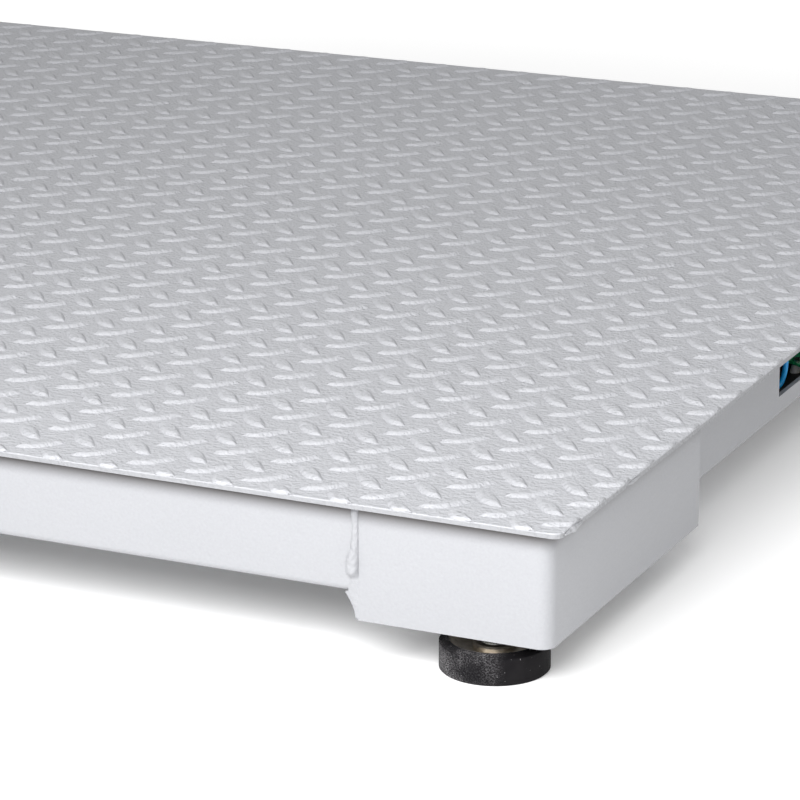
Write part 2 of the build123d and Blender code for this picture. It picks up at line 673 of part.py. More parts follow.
def make_terminal_blocks():
    """Four blocks for the load-cell leads and one across them for the output."""
    pitch = TERMINAL_LENGTH / TERMINAL_POLES
    poles = [(i - (TERMINAL_POLES - 1) / 2) * pitch for i in range(TERMINAL_POLES)]
    with BuildPart() as blocks:
        with BuildSketch(board_plane.offset(BOARD_THICKNESS)):
            with Locations(*[(x, y) for x in TERMINAL_X for y in (-TERMINAL_Y, TERMINAL_Y)]):
                Rectangle(TERMINAL_LENGTH, TERMINAL_WIDTH)
            with Locations(OUTPUT_TERMINAL):
                Rectangle(TERMINAL_WIDTH, TERMINAL_LENGTH)
        extrude(amount=TERMINAL_HEIGHT)
        with BuildSketch(board_plane.offset(BOARD_THICKNESS + TERMINAL_HEIGHT)):
            for x in TERMINAL_X:
                with Locations(*[(x + pole, y) for pole in poles for y in (-TERMINAL_Y, TERMINAL_Y)]):
                    Circle(TERMINAL_SCREW_RADIUS)
            with Locations(*[(OUTPUT_TERMINAL[0], pole) for pole in poles]):
                Circle(TERMINAL_SCREW_RADIUS)
        extrude(amount=-TERMINAL_SCREW_DEPTH, mode=Mode.SUBTRACT)
    save(blocks, "terminal_blocks")


def make_trimmers():
    """Corner-balance trimmers, one for each load cell."""
    with BuildPart() as trimmers:
        with BuildSketch(board_plane.offset(BOARD_THICKNESS)):
            with Locations(*TRIMMER_PLACES):
                Rectangle(TRIMMER_WIDTH, TRIMMER_LENGTH)
        extrude(amount=TRIMMER_HEIGHT)
        with BuildSketch(board_plane.offset(BOARD_THICKNESS + TRIMMER_HEIGHT)):
            with Locations(*[(x, y - TRIMMER_SCREW_OFFSET) for x, y in TRIMMER_PLACES]):
                Circle(TRIMMER_SCREW_RADIUS)
        extrude(amount=TRIMMER_SCREW_HEIGHT)
    save(trimmers, "trimmers")


def make_junction_glands():
    """Two nylon glands in each end wall of the junction box, each with its nut inside."""
    wall = JUNCTION_HALF_LENGTH
    with BuildPart() as glands:
        for end in ENDS.values():
            for place in (NEAR_GLAND, FAR_GLAND):
                steps = [
                    (wall + GLAND_HEX_THICKNESS, GLAND_CAP_LENGTH, "round"),
                    (wall, GLAND_HEX_THICKNESS, "hex"),
                    (wall - JUNCTION_WALL, JUNCTION_WALL, "round"),
                    (wall - JUNCTION_WALL - GLAND_NUT_THICKNESS, GLAND_NUT_THICKNESS, "hex"),
                ]
                for start, length, shape in steps:
                    with BuildSketch(facing_y(end * start)):
                        with Locations(place):
                            if shape == "hex":
                                RegularPolygon(hexagon_radius(GLAND_FLATS), 6)
                            else:
                                Circle(GLAND_SLEEVE)
                            Circle(CABLE_BORE, mode=Mode.SUBTRACT)
                    extrude(amount=-end * length)
    save(glands, "junction_box_glands")


def make_indicator_gland():
    """Gland in the right beam for the cable to a separate indicator."""
    place = (INDICATOR_GLAND_Y, INDICATOR_GLAND_Z)
    steps = [
        (SIDE_WEB + GLAND_HEX_THICKNESS, GLAND_CAP_LENGTH, "round"),
        (SIDE_WEB, GLAND_HEX_THICKNESS, "hex"),
        (SIDE_WEB_INSIDE, BEAM_WALL, "round"),
        (SIDE_WEB_INSIDE - GLAND_NUT_THICKNESS, GLAND_NUT_THICKNESS, "hex"),
    ]
    with BuildPart() as gland:
        for start, length, shape in steps:
            with BuildSketch(facing_x(start)):
                with Locations(place):
                    if shape == "hex":
                        RegularPolygon(hexagon_radius(GLAND_FLATS), 6)
                    else:
                        Circle(GLAND_SLEEVE)
                    Circle(INDICATOR_BORE, mode=Mode.SUBTRACT)
            extrude(amount=length)
    save(gland, "indicator_gland")


# ---------------------------------------------------------------- load-cell leads
def make_grommets():
    """Rubber rings in every wall and rib leg that a lead goes through."""
    across_x = []
    for side_y in ENDS.values():
        for side_x in (-1, 1):
            across_x.append((side_x * (BOX_INNER_X + BOX_WALL / 2), side_y, BOX_WALL))
        for centre_x in RIB_NAMES.values():
            for leg in (-1, 1):
                across_x.append((centre_x + leg * (RIB_WIDTH - RIB_WALL) / 2, side_y, RIB_WALL))
    with BuildPart() as grommets:
        for x, side_y, wall in across_x:
            place = (side_y * CROSS_RUN_Y, CABLE_HEIGHT)
            with BuildSketch(facing_x(x)):
                with Locations(place):
                    Circle(GROMMET_NECK - GROMMET_FIT)
                    Circle(CABLE_BORE, mode=Mode.SUBTRACT)
            extrude(amount=wall / 2, both=True)
            for lip in (x + wall / 2, x - wall / 2 - GROMMET_LIP_THICKNESS):
                with BuildSketch(facing_x(lip)):
                    with Locations(place):
                        Circle(GROMMET_LIP)
                        Circle(CABLE_BORE, mode=Mode.SUBTRACT)
                extrude(amount=GROMMET_LIP_THICKNESS)
        for side_y in ENDS.values():
            for lead_x in (NEAR_LEAD_X, FAR_LEAD_X):
                middle_y = BOX_INNER_Y + BOX_WALL / 2
                with BuildSketch(facing_y(side_y * middle_y)):
                    with Locations((lead_x, CABLE_HEIGHT)):
                        Circle(GROMMET_NECK - GROMMET_FIT)
                        Circle(CABLE_BORE, mode=Mode.SUBTRACT)
                extrude(amount=BOX_WALL / 2, both=True)
                for lip in (middle_y + BOX_WALL / 2 + GROMMET_LIP_THICKNESS, middle_y - BOX_WALL / 2):
                    with BuildSketch(facing_y(side_y * lip)):
                        with Locations((lead_x, CABLE_HEIGHT)):
                            Circle(GROMMET_LIP)
                            Circle(CABLE_BORE, mode=Mode.SUBTRACT)
                    extrude(amount=side_y * GROMMET_LIP_THICKNESS)
    save(grommets, "cable_grommets")


def make_clips():
    """Saddles that hold the leads up under the beam flange and the deck."""
    places = [
        (NEAR_GLAND[0], NEAR_CLIP_Y, NEAR_GLAND[1], DECK_BOTTOM - BEAM_WALL),
        (FAR_GLAND[0], FAR_CLIP_Y, FAR_GLAND[1], DECK_BOTTOM),
    ]
    with BuildPart() as clips:
        for side_y in ENDS.values():
            for x, y, z, top in places:
                low = z - CLIP_WIDTH / 2
                with BuildSketch(facing_y(side_y * y)):
                    with Locations((x, (low + top) / 2)):
                        Rectangle(CLIP_WIDTH, top - low)
                    with Locations((x, z)):
                        Circle(CABLE_BORE, mode=Mode.SUBTRACT)
                extrude(amount=CLIP_WIDTH / 2, both=True)
    save(clips, "cable_clips")


def terminal_mouth(terminal_x, side_y):
    """Middle of the outer face of one terminal block, in the platform's frame."""
    face_y = -side_y * (TERMINAL_Y + TERMINAL_WIDTH / 2)
    middle_z = BOARD_THICKNESS + TERMINAL_HEIGHT / 2
    return board_plane.from_local_coords(Vector(terminal_x, face_y, middle_z))


def bend_radii(points):
    """One radius for each corner of a route, as large as its two runs allow."""
    radii = []
    for before, corner, after in zip(points, points[1:], points[2:]):
        run_in = corner - before
        run_out = after - corner
        turn = math.radians(run_in.get_angle(run_out))
        radii.append(0.45 * min(run_in.length, run_out.length) / math.tan(turn / 2))
    return radii


def make_lead(name, points):
    """Round lead along straight runs joined by tangent arcs."""
    radii = bend_radii(points)
    with BuildPart() as lead:
        with BuildLine() as route:
            FilletPolyline(*points, radius=radii)
        with BuildSketch(Plane(origin=points[0], z_dir=points[1] - points[0])):
            Circle(CABLE_RADIUS)
        sweep(path=route.wires()[0])
    length = route.wires()[0].length
    print(name, "length", round(length, 1))
    save(lead, name)


def make_near_lead(end, side_y):
    """Lead of a right-hand cell: along the side beam, with a spare loop behind the window."""
    mouth = terminal_mouth(TERMINAL_X[0], side_y)
    route = [
        (NEAR_LEAD_X, CELL_FIXED_END, CABLE_HEIGHT),
        (NEAR_LEAD_X, LEAD_DROP_Y, CABLE_HEIGHT),
        (NEAR_GLAND[0], NEAR_RISE_Y, NEAR_GLAND[1]),
        (NEAR_GLAND[0], NEAR_GLAND_EXIT_Y, NEAR_GLAND[1]),
        (LOOP_X, LOOP_Y, LOOP_TOP),
        (LOOP_X, LOOP_Y, LOOP_LOW),
        (LOOP_X, LOOP_RETURN_Y, LOOP_LOW),
        (LOOP_RETURN_X, LOOP_RETURN_Y, LOOP_LOW),
        (LOOP_RETURN_X, LOOP_LAST_Y, LOOP_LOW),
        (mouth.X, NEAR_ENTRY_Y, mouth.Z),
        (mouth.X, abs(mouth.Y), mouth.Z),
    ]
    make_lead(f"load_cell_lead_{end}_right", [Vector(x, side_y * y, z) for x, y, z in route])


def make_far_lead(end, side_y):
    """Lead of a left-hand cell: across under the deck, through the ribs and the right-hand box."""
    mouth = terminal_mouth(TERMINAL_X[1], side_y)
    route = [
        (-NEAR_LEAD_X, CELL_FIXED_END, CABLE_HEIGHT),
        (-NEAR_LEAD_X, CROSS_RUN_Y, CABLE_HEIGHT),
        (FAR_LEAD_X, CROSS_RUN_Y, CABLE_HEIGHT),
        (FAR_LEAD_X, LEAD_DROP_Y, CABLE_HEIGHT),
        (FAR_GLAND[0], FAR_RISE_Y, FAR_GLAND[1]),
        (FAR_GLAND[0], FAR_GLAND_EXIT_Y, FAR_GLAND[1]),
        (mouth.X, FAR_ENTRY_Y, mouth.Z),
        (mouth.X, abs(mouth.Y), mouth.Z),
    ]
    make_lead(f"load_cell_lead_{end}_left", [Vector(x, side_y * y, z) for x, y, z in route])


make_deck()
for side_name, side_sign in {"left": -1, "right": 1}.items():
    make_side_beam(side_name, side_sign)
for end_name, end_sign in ENDS.items():
    make_front_beam(end_name, end_sign)
    make_near_lead(end_name, end_sign)
    make_far_lead(end_name, end_sign)
for rib_name, rib_x in RIB_NAMES.items():
    make_rib(rib_name, rib_x)
for corner_name, (sign_x, sign_y) in CORNERS.items():
    make_corner_box(corner_name, sign_x, sign_y)
    make_mount_plate(corner_name, sign_x, sign_y)
    make_load_cell(corner_name, sign_x, sign_y)
    make_foot_stud(corner_name, sign_x, sign_y)
    make_dust_ring(corner_name, sign_x, sign_y)
    make_foot_dish(corner_name, sign_x, sign_y)
    make_foot_pad(corner_name, sign_x, sign_y)
make_weld_beads()
make_spacers()
make_gauge_covers()
make_cell_glands()
make_cell_bolts()
make_cell_washers()
make_lock_nuts()
make_junction_box()
make_junction_screws()
make_circuit_board()
make_standoffs()
make_board_screws()
make_terminal_blocks()
make_trimmers()
make_junction_glands()
make_indicator_gland()
make_grommets()
make_clips()
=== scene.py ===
import bpy
import bmesh
import json
import math
from mathutils import Matrix, Vector, noise


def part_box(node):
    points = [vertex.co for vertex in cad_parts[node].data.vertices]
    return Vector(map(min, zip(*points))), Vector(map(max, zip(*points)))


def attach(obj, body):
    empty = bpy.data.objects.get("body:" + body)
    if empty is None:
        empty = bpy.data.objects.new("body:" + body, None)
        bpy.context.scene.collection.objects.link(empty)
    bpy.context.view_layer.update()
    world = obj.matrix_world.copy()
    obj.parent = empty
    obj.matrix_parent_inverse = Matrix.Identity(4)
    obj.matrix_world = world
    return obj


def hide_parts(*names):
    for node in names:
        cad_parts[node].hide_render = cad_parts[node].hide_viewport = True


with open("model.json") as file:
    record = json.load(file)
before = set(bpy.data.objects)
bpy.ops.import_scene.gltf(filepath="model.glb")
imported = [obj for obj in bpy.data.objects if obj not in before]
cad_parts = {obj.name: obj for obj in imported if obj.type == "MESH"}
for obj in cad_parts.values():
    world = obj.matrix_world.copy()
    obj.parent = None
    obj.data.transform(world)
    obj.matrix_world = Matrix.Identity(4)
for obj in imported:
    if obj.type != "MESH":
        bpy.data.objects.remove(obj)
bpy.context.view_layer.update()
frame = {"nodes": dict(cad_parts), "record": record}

MM = 0.001
CORNERS = ("front_right", "front_left", "rear_right", "rear_left")
RIBS = ("far_left", "left", "right", "far_right")
DECK_LOW, DECK_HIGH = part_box("deck_plate")


# ---------------------------------------------------------------- node helpers
def shader_tree(name):
    """A new material with its node tree and its Principled shader."""
    material = bpy.data.materials.new(name)
    material.use_nodes = True
    tree = material.node_tree
    shader = next(n for n in tree.nodes if n.type == "BSDF_PRINCIPLED")
    return material, tree, shader


def coordinates(tree, stretch=(1, 1, 1)):
    """Object coordinates, which are the platform's own frame in metres."""
    source = tree.nodes.new("ShaderNodeTexCoord")
    mapping = tree.nodes.new("ShaderNodeMapping")
    mapping.inputs["Scale"].default_value = stretch
    tree.links.new(source.outputs["Object"], mapping.inputs["Vector"])
    return mapping.outputs["Vector"]


def noise_value(tree, vector, scale, detail=2.0, roughness=0.5, distortion=0.0):
    """Fractal noise at a vector, mostly between 0.3 and 0.7."""
    node = tree.nodes.new("ShaderNodeTexNoise")
    node.inputs["Scale"].default_value = scale
    node.inputs["Detail"].default_value = detail
    node.inputs["Roughness"].default_value = roughness
    node.inputs["Distortion"].default_value = distortion
    tree.links.new(vector, node.inputs["Vector"])
    return node.outputs["Fac"]


def stepped(tree, value, low, high, out_low=0.0, out_high=1.0):
    """The value mapped from low..high to out_low..out_high, clamped."""
    node = tree.nodes.new("ShaderNodeMapRange")
    node.inputs["From Min"].default_value = low
    node.inputs["From Max"].default_value = high
    node.inputs["To Min"].default_value = out_low
    node.inputs["To Max"].default_value = out_high
    tree.links.new(value, node.inputs["Value"])
    return node.outputs["Result"]


def calculated(tree, operation, first, second):
    """A math node's result on two values, each a number or a socket."""
    node = tree.nodes.new("ShaderNodeMath")
    node.operation = operation
    for socket, value in zip(node.inputs, (first, second)):
        if isinstance(value, (int, float)):
            socket.default_value = value
        else:
            tree.links.new(value, socket)
    return node.outputs["Value"]


def colour_between(tree, factor, first, second):
    """The first colour where factor is 0 and the second where it is 1.

    The factor may be a float or a socket, and each colour a tuple or a socket.
    """
    node = tree.nodes.new("ShaderNodeMix")
    node.data_type = "RGBA"
    if isinstance(factor, float):
        node.inputs["Factor"].default_value = factor
    else:
        tree.links.new(factor, node.inputs["Factor"])
    for socket, value in ((node.inputs[6], first), (node.inputs[7], second)):
        if isinstance(value, tuple):
            socket.default_value = (*value, 1.0)
        else:
            tree.links.new(value, socket)
    return node.outputs[2]


def bumped(tree, height, strength, distance, below=None):
    """A normal disturbed by height, laid over another one if below is given."""
    node = tree.nodes.new("ShaderNodeBump")
    node.inputs["Strength"].default_value = strength
    node.inputs["Distance"].default_value = distance
    tree.links.new(height, node.inputs["Height"])
    if below is not None:
        tree.links.new(below, node.inputs["Normal"])
    return node.outputs["Normal"]


def axis_value(tree, vector, axis):
    """One component of a vector, by its letter."""
    node = tree.nodes.new("ShaderNodeSeparateXYZ")
    tree.links.new(vector, node.inputs["Vector"])
    return node.outputs[axis]


def lighter(colour, factor):
    """A colour multiplied by a factor, which may also darken it."""
    return tuple(min(1.0, channel * factor) for channel in colour)


# ---------------------------------------------------------------- materials
# Ranges of a noise value over which a property changes from one end to the other.
WIDE = (0.3, 0.7)
MEDIUM = (0.35, 0.65)

# The frame's grey and the deck's grey are one paint: the frame's is set darker, painted shade on its faces,
# and the deck's lighter, painted light on its top.
PAINT = (0.340, 0.344, 0.361)
LIT_DECK_PAINT = (0.450, 0.456, 0.479)
# Painted shade under the deck's overhang: its colour, and the heights over which the frame's paint darkens
# towards the deck.
UNDER_DECK_SHADE_COLOUR = (0.060, 0.052, 0.048)
UNDER_DECK_SHADE_HEIGHTS = (0.0780, 0.0876)
# Depths below the deck's upper face between which the paint changes to a darker colour, painted shade on
# the deck's side faces.
SIDE_SHADE_DEPTHS = (0.0008, 0.0003)

PAD_DARK = (0.005, 0.005, 0.006)
PAD_LIGHT = (0.014, 0.013, 0.014)
PAD_DUST_AND_HIGHLIGHT = (0.30, 0.29, 0.30)
# Distances from the middle plane between which the dust on a pad, partly a painted highlight on its inner
# side, fades out.
PAD_DUST_AND_HIGHLIGHT_FADE = (0.458, 0.470)

TRACK_SCALE = 160.0
BOARD_COLOURS = {
    "Color1": (0.004, 0.17, 0.060, 1),
    "Color2": (0.006, 0.21, 0.075, 1),
    "Mortar": (0.020, 0.42, 0.16, 1),
}
BOARD_CLOUD = (0.012, 0.30, 0.11)

FLOOR_DARK = (0.910, 0.910, 0.910)
FLOOR_LIGHT = (0.930, 0.930, 0.930)
# Distances from the origin, and the floor's glow at each, painted light; the weaker glow near the platform
# paints a shadow round it.
FLOOR_GLOW_DISTANCES = (0.7, 1.4)
FLOOR_GLOW = (0.17, 0.60)


def powder_coat(name, colour, grain, depth, strength=0.5, under_deck_shade=None, side_shade_colour=None):
    """Light grey powder coat: fine orange peel over slow waves, with faint mottling.

    A height range for painted shade, if given, darkens the paint towards the deck over it: painted shade
    under the deck's overhang. A colour for the side faces, if given, goes on everything below the deck's
    upper face: painted shade on its sides.
    """
    material, tree, shader = shader_tree(name)
    vector = coordinates(tree)
    slow = noise_value(tree, vector, 6.0, detail=3.0)
    fine = noise_value(tree, vector, grain, detail=3.0, roughness=0.6)
    peel = noise_value(tree, vector, grain * 0.45, detail=1.0)
    base = colour_between(tree, stepped(tree, slow, *WIDE), lighter(colour, 0.97), lighter(colour, 1.03))
    shade = colour_between(tree, stepped(tree, fine, *WIDE), lighter(colour, 0.93), lighter(colour, 1.06))
    tone = colour_between(tree, 0.5, base, shade)
    height = axis_value(tree, vector, "Z")
    # Painted shade: the paint darkens towards the deck's underside, in place of the shade under the deck's
    # overhang.
    if under_deck_shade:
        shade_amount = calculated(tree, "POWER", stepped(tree, height, *under_deck_shade), 1.9)
        uneven = stepped(tree, slow, *WIDE, 0.82, 0.96)
        tone = colour_between(tree, calculated(tree, "MULTIPLY", shade_amount, uneven), tone, UNDER_DECK_SHADE_COLOUR)
    # Painted shade: below the deck's upper face, the deck's side faces take a darker colour than its top.
    if side_shade_colour:
        change_low, change_high = (DECK_HIGH.z - step for step in SIDE_SHADE_DEPTHS)
        tone = colour_between(tree, stepped(tree, height, change_low, change_high), side_shade_colour, tone)
    tree.links.new(tone, shader.inputs["Base Color"])
    tree.links.new(stepped(tree, fine, *WIDE, 0.42, 0.58), shader.inputs["Roughness"])
    normal = bumped(tree, peel, strength, depth)
    tree.links.new(bumped(tree, fine, strength * 0.7, depth * 0.6, normal), shader.inputs["Normal"])
    return material


def worked_metal(name, colour, grain, rough, stain, stretch=(1, 1, 1)):
    """Plated or bare steel with fine directional grain and uneven tarnish."""
    material, tree, shader = shader_tree(name)
    vector = coordinates(tree, stretch)
    fine = noise_value(tree, vector, grain, detail=4.0, roughness=0.65)
    cloud = noise_value(tree, vector, grain * 0.08, detail=3.0)
    shader.inputs["Metallic"].default_value = 1.0
    tone = colour_between(tree, stepped(tree, cloud, *MEDIUM), stain, colour)
    tree.links.new(tone, shader.inputs["Base Color"])
    tree.links.new(stepped(tree, fine, *WIDE, rough * 0.75, rough * 1.3), shader.inputs["Roughness"])
    tree.links.new(bumped(tree, fine, 0.25, 0.00006), shader.inputs["Normal"])
    return material


def moulded(name, colour, grain, rough):
    """Moulded plastic with a fine spark-eroded texture and a slight colour drift."""
    material, tree, shader = shader_tree(name)
    vector = coordinates(tree)
    fine = noise_value(tree, vector, grain, detail=3.0)
    cloud = noise_value(tree, vector, grain * 0.05, detail=2.0)
    tone = colour_between(tree, stepped(tree, cloud, *MEDIUM), lighter(colour, 0.85), lighter(colour, 1.12))
    tree.links.new(tone, shader.inputs["Base Color"])
    tree.links.new(stepped(tree, fine, *WIDE, rough * 0.85, rough * 1.15), shader.inputs["Roughness"])
    tree.links.new(bumped(tree, fine, 0.3, 0.00004), shader.inputs["Normal"])
    return material


def scuffed_pad(name):
    """Black pad with a sandy skin, pale dust in patches and a few scratches; the pale patches, partly a
    painted highlight, stay on its inner side.
    """
    material, tree, shader = shader_tree(name)
    vector = coordinates(tree)
    drawn_out = coordinates(tree, (1.0, 1.0, 0.25))
    sand = noise_value(tree, vector, 1500.0, detail=3.0, roughness=0.7)
    patch = noise_value(tree, vector, 38.0, detail=3.0, roughness=0.6)
    specks = noise_value(tree, vector, 900.0, detail=2.0)
    lines = noise_value(tree, drawn_out, 160.0, detail=4.0, roughness=0.75, distortion=1.2)
    # Partly dust, partly painted highlight: the pale patches fade out towards the outer side, so the inner
    # side of the pad reads lighter.
    sideways = calculated(tree, "ABSOLUTE", axis_value(tree, vector, "X"), 0.0)
    inner_side = stepped(tree, sideways, *PAD_DUST_AND_HIGHLIGHT_FADE, 1.0, 0.0)
    patches = stepped(tree, patch, 0.40, 0.62, 0.1, 0.8)
    dust_and_highlight = calculated(tree, "MULTIPLY", patches, stepped(tree, sand, 0.46, 0.66))
    dust_and_highlight = calculated(tree, "MULTIPLY", dust_and_highlight, inner_side)
    scratch = calculated(tree, "MULTIPLY", stepped(tree, lines, 0.675, 0.70), 0.5)
    speck = stepped(tree, specks, 0.735, 0.76)
    marks = calculated(tree, "MAXIMUM", calculated(tree, "MAXIMUM", dust_and_highlight, scratch), speck)
    tone = colour_between(tree, stepped(tree, patch, *WIDE), PAD_DARK, PAD_LIGHT)
    tone = colour_between(tree, marks, tone, PAD_DUST_AND_HIGHLIGHT)
    tree.links.new(tone, shader.inputs["Base Color"])
    shader.inputs["Specular IOR Level"].default_value = 0.04
    tree.links.new(stepped(tree, sand, *WIDE, 0.42, 0.62), shader.inputs["Roughness"])
    tree.links.new(bumped(tree, sand, 0.5, 0.00012), shader.inputs["Normal"])
    return material


def circuit_green(name):
    """Solder mask with straight tracks that show through it."""
    material, tree, shader = shader_tree(name)
    vector = coordinates(tree)
    bricks = tree.nodes.new("ShaderNodeTexBrick")
    bricks.inputs["Scale"].default_value = TRACK_SCALE
    bricks.inputs["Mortar Size"].default_value = 0.06
    for socket, colour in BOARD_COLOURS.items():
        bricks.inputs[socket].default_value = colour
    tree.links.new(vector, bricks.inputs["Vector"])
    cloud = noise_value(tree, vector, 60.0, detail=2.0)
    drift = stepped(tree, cloud, 0.4, 0.7, 0.0, 0.35)
    tone = colour_between(tree, drift, bricks.outputs["Color"], BOARD_CLOUD)
    tree.links.new(tone, shader.inputs["Base Color"])
    tree.links.new(stepped(tree, cloud, *WIDE, 0.28, 0.40), shader.inputs["Roughness"])
    tree.links.new(bumped(tree, bricks.outputs["Fac"], 0.3, 0.00003), shader.inputs["Normal"])
    return material


def floor_paper(name):
    """White studio paper that glows, painted light that grows with the distance from the platform, so that
    the dimmer paper near it is a painted shadow.
    """
    material, tree, shader = shader_tree(name)
    vector = coordinates(tree)
    cloud = noise_value(tree, vector, 2.0, detail=2.0)
    tone = colour_between(tree, stepped(tree, cloud, *WIDE), FLOOR_DARK, FLOOR_LIGHT)
    tree.links.new(tone, shader.inputs["Base Color"])
    shader.inputs["Roughness"].default_value = 0.9
    shader.inputs["Specular IOR Level"].default_value = 0.1
    distance = tree.nodes.new("ShaderNodeVectorMath")
    distance.operation = "LENGTH"
    tree.links.new(vector, distance.inputs[0])
    shader.inputs["Emission Color"].default_value = (1.0, 1.0, 1.0, 1.0)
    # Painted light and shadow: the floor glows, less near the platform.
    glow = stepped(tree, distance.outputs["Value"], *FLOOR_GLOW_DISTANCES, *FLOOR_GLOW)
    tree.links.new(glow, shader.inputs["Emission Strength"])
    return material


CELL_STEEL = (0.56, 0.56, 0.55)
ZINC = (0.60, 0.61, 0.63)
ZINC_STAIN = (0.50, 0.50, 0.44)
DISH_STEEL = (0.78, 0.73, 0.66)
DISH_STAIN = (0.44, 0.39, 0.32)

materials = {
    "powder_coat": powder_coat("powder_coat", PAINT, 620.0, 0.00045, under_deck_shade=UNDER_DECK_SHADE_HEIGHTS),
    "cell_steel": worked_metal("cell_steel", CELL_STEEL, 900.0, 0.34, lighter(CELL_STEEL, 0.75),
                               stretch=(1, 0.12, 1)),
    "zinc_steel": worked_metal("zinc_steel", ZINC, 1200.0, 0.28, ZINC_STAIN),
    "dish_steel": worked_metal("dish_steel", DISH_STEEL, 1300.0, 0.45, DISH_STAIN),
    "pad_rubber": scuffed_pad("pad_rubber"),
    "black_nylon": moulded("black_nylon", (0.006, 0.006, 0.007), 1400.0, 0.6),
    "board_green": circuit_green("board_green"),
    "terminal_green": moulded("terminal_green", (0.010, 0.16, 0.055), 1400.0, 0.42),
    "trimmer_blue": moulded("trimmer_blue", (0.02, 0.08, 0.42), 1400.0, 0.40),
    "white_nylon": moulded("white_nylon", (0.62, 0.62, 0.60), 1400.0, 0.50),
    "lead_blue": moulded("lead_blue", (0.010, 0.42, 0.98), 1100.0, 0.38),
}
# Painted light: the deck takes a lighter copy of the frame's grey paint.
lit_deck_paint = powder_coat("lit_deck_paint", LIT_DECK_PAINT, 760.0, 0.0013, strength=0.9,
                         side_shade_colour=lighter(PAINT, 0.85))
weld_paint = powder_coat("weld_paint", PAINT, 900.0, 0.0008, strength=0.8)

for subpart in frame["record"]["subparts"]:
    node = frame["nodes"][subpart["node"]]
    for material_slot in node.material_slots:
        material_slot.material = materials[subpart["material_slot"]]
for material_slot in frame["nodes"]["deck_plate"].material_slots:
    material_slot.material = lit_deck_paint


# ---------------------------------------------------------------- mesh helpers
def add_piece(name, mesh, body, material, smooth=True):
    """A new piece in the platform's frame, riding on one body."""
    piece = bpy.data.objects.new(name, mesh)
    bpy.context.scene.collection.objects.link(piece)
    piece.data.materials.append(material)
    piece.data.polygons.foreach_set("use_smooth", [smooth] * len(piece.data.polygons))
    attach(piece, body)
    return piece


# ---------------------------------------------------------------- raised deck pattern
LUG_PITCH = 34.938 * MM
LUG_LENGTH = 30.0 * MM
LUG_WIDTH = 10.6 * MM
LUG_HEIGHT = 1.65 * MM
LUG_ANGLE = math.radians(38)
LUG_SKEW = 0.9 * MM
LUG_FULLNESS = 0.8
LUG_SIDE_FLANK = 2.3 * MM
LUG_END_FLANK = 4.5 * MM
LUG_POINTS = 20
LUG_REAR_GAP = 11.0 * MM
LUG_TRIM_INSET = 0.05 * MM
# Most that a lug is turned, in radians, and scaled from the drawn shape.
LUG_TURN = 0.02
LUG_SIZE = 0.03
# Share of the way in over the flank, and share of the lug's height there.
LUG_RINGS = ((-0.06, -0.15), (0.10, 0.06), (0.40, 0.42), (0.75, 0.86), (1.0, 0.98), (1.35, 1.03))
# Middle of the lug nearest to the deck's front right corner, from that corner, for each direction.
RISING_START = Vector((-3.84 * MM, 19.25 * MM))
FALLING_START = Vector((-21.6 * MM, 36.9 * MM))


def lug_shape(lean):
    """Points and faces of one pointed lug along X, whose ends lean apart by the sign of lean."""
    top_length = LUG_LENGTH - 2 * LUG_END_FLANK
    top_width = LUG_WIDTH - 2 * LUG_SIDE_FLANK
    points = []
    for inward, height in LUG_RINGS:
        for i in range(LUG_POINTS):
            angle = 2 * math.pi * i / LUG_POINTS
            bulge = math.copysign(abs(math.sin(angle)) ** (2 * LUG_FULLNESS), math.sin(angle))
            along = math.cos(angle) * (LUG_LENGTH + (top_length - LUG_LENGTH) * inward) / 2
            across = bulge * (LUG_WIDTH + (top_width - LUG_WIDTH) * inward) / 2
            skew = lean * LUG_SKEW * math.sin(2 * math.pi * along / LUG_LENGTH)
            points.append(Vector((along, across + skew, height * LUG_HEIGHT)))
    faces = []
    for ring in range(len(LUG_RINGS) - 1):
        for i in range(LUG_POINTS):
            following = (i + 1) % LUG_POINTS
            low = ring * LUG_POINTS
            high = low + LUG_POINTS
            faces.append((low + i, low + following, high + following, high + i))
    last = (len(LUG_RINGS) - 1) * LUG_POINTS
    faces.append(tuple(last + i for i in range(LUG_POINTS)))
    faces.append(tuple(reversed(range(LUG_POINTS))))
    return points, faces


def lug_places(first):
    """Middles of every lug of one direction on the deck, with a bare strip along its rear edge."""
    low, high = DECK_LOW, DECK_HIGH
    start = Vector((high.x, low.y)) + first
    reach = LUG_LENGTH * 0.4
    count = math.ceil((high.x - low.x) / LUG_PITCH) + 2
    places = []
    for column in range(-count, 2):
        for row in range(-2, count):
            middle = start + Vector((column * LUG_PITCH, row * LUG_PITCH))
            inside_x = low.x - reach < middle.x < high.x + reach
            inside_y = low.y - reach < middle.y < high.y - LUG_REAR_GAP
            if inside_x and inside_y:
                places.append(middle)
    return places


def place_lugs(places, angle, lean):
    """One mesh of lugs at these places, each a little different from the next."""
    level = DECK_HIGH.z
    shape, shape_faces = lug_shape(lean)
    points = []
    faces = []
    for middle in places:
        base = Vector((middle.x, middle.y, level))
        turn = Matrix.Rotation(angle + LUG_TURN * noise.noise(base * 31), 3, "Z")
        size = 1 + LUG_SIZE * noise.noise(base * 47)
        offset = len(points)
        points += [base + turn @ (point * size) for point in shape]
        faces += [tuple(offset + i for i in face) for face in shape_faces]
    mesh = bpy.data.meshes.new("lugs")
    mesh.from_pydata(points, [], faces)
    return mesh


